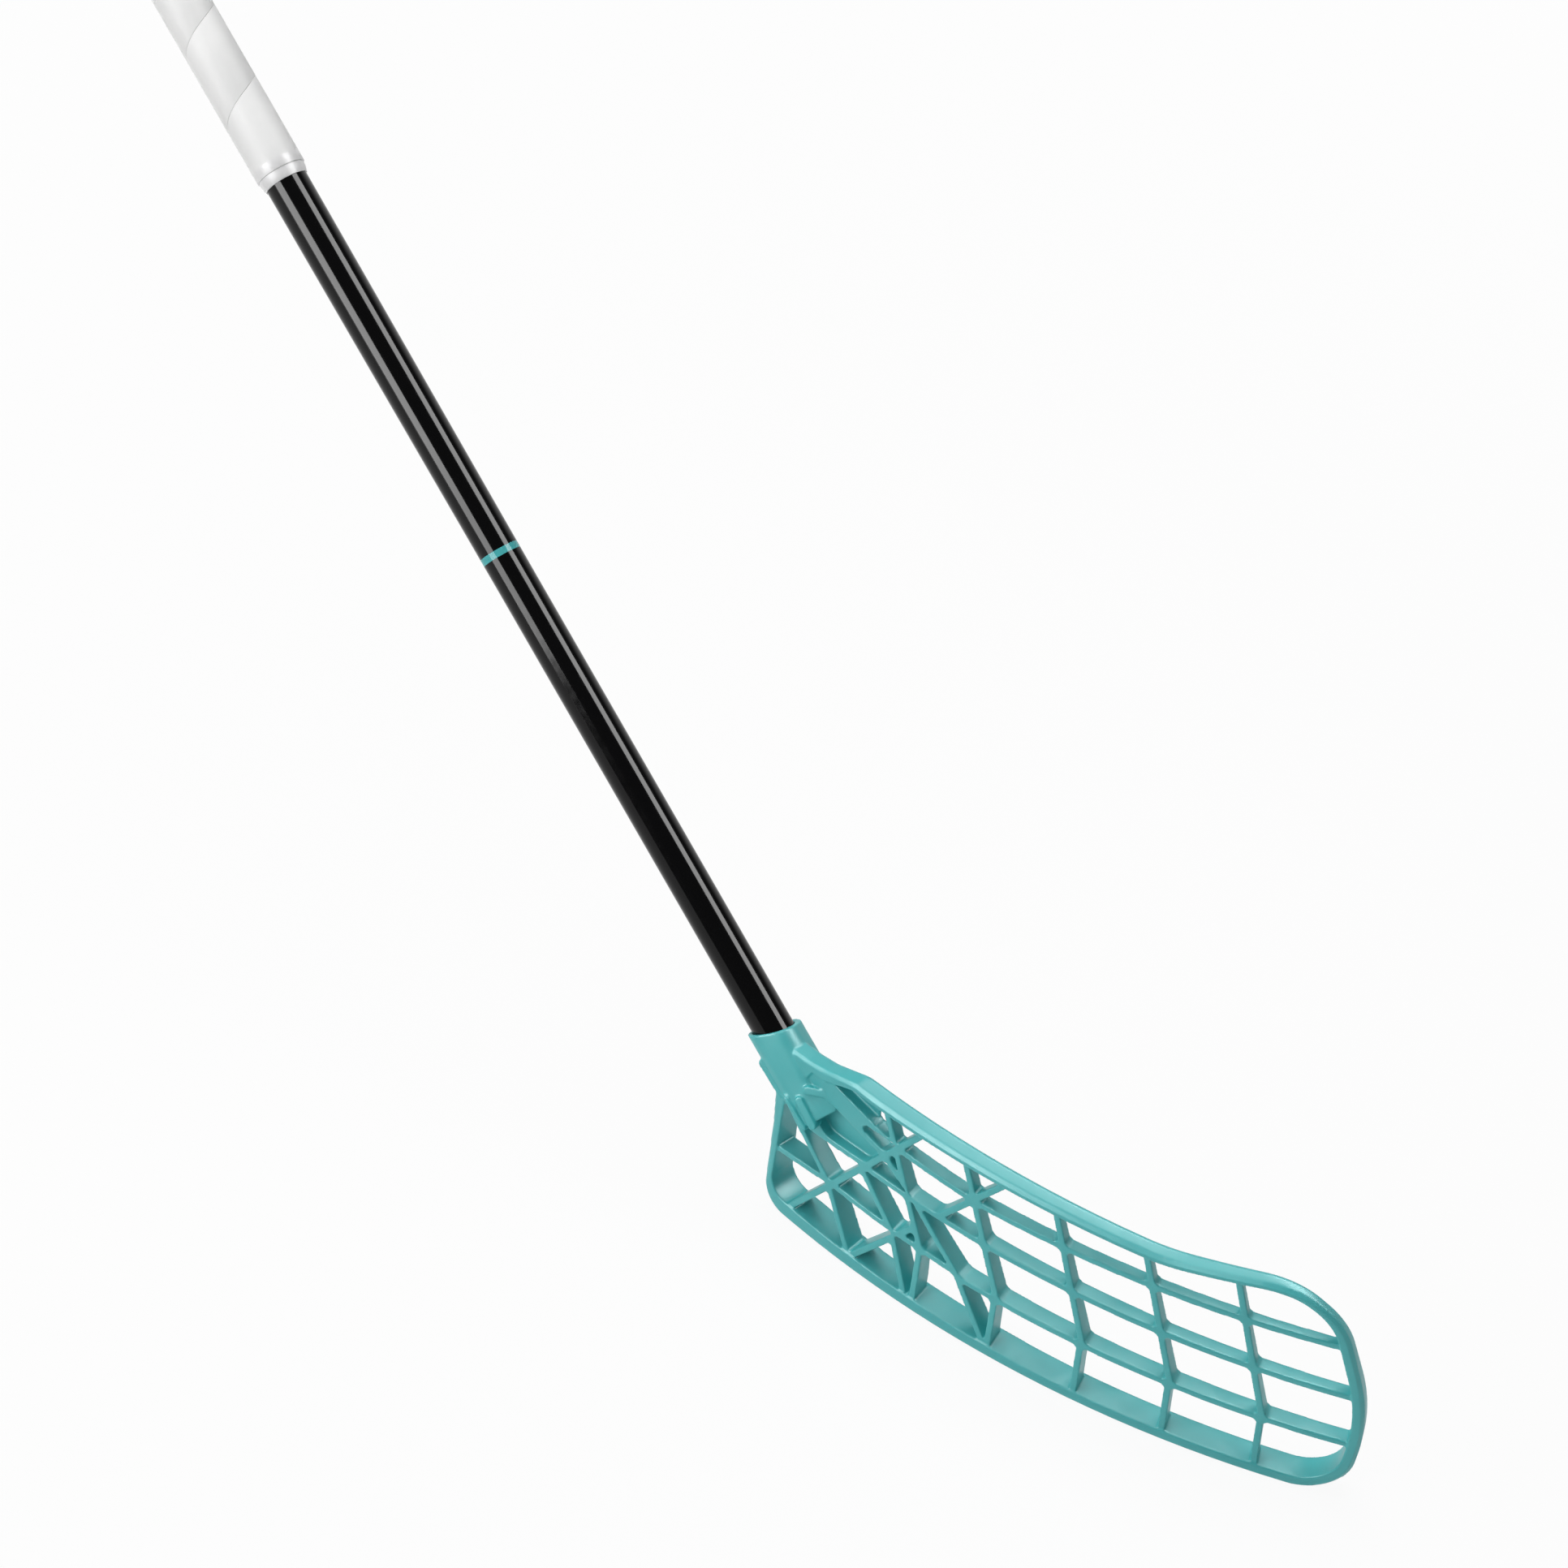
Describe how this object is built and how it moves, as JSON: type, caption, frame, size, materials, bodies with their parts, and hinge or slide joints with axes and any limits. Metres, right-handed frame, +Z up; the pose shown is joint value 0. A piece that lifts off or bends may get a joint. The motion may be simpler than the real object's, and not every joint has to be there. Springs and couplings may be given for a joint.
{
  "type": "floorball stick",
  "caption": "Floorball stick in playing stance: hooked lattice blade on a slanted socket, slim tube shaft, spirally wound grip and end cap, for striking a light plastic ball.",
  "frame": {"origin": "on the shaft's axis, in the middle of the bare stretch that a rack clip holds", "axes": "+X from heel to toe, +Y from the seen face to the far face, +Z up with the blade's sole level"},
  "size_m": [0.8329, 0.1106, 0.5115],
  "materials": {
    "blade_plastic": "satin moulded polyethylene",
    "shaft_lacquer": "gloss lacquer on fibre composite",
    "screw_steel": "bright zinc",
    "grip_band": "smooth soft band",
    "tape": "smooth",
    "cap_rubber": "matt"
  },
  "bodies": {
    "root": {"blade": "blade_plastic", "shaft": "shaft_lacquer", "blade_screw": "screw_steel", "grip_wrap": "grip_band", "finishing_tape": "tape", "end_cap": "cap_rubber"}
  },
  "joints": []
}
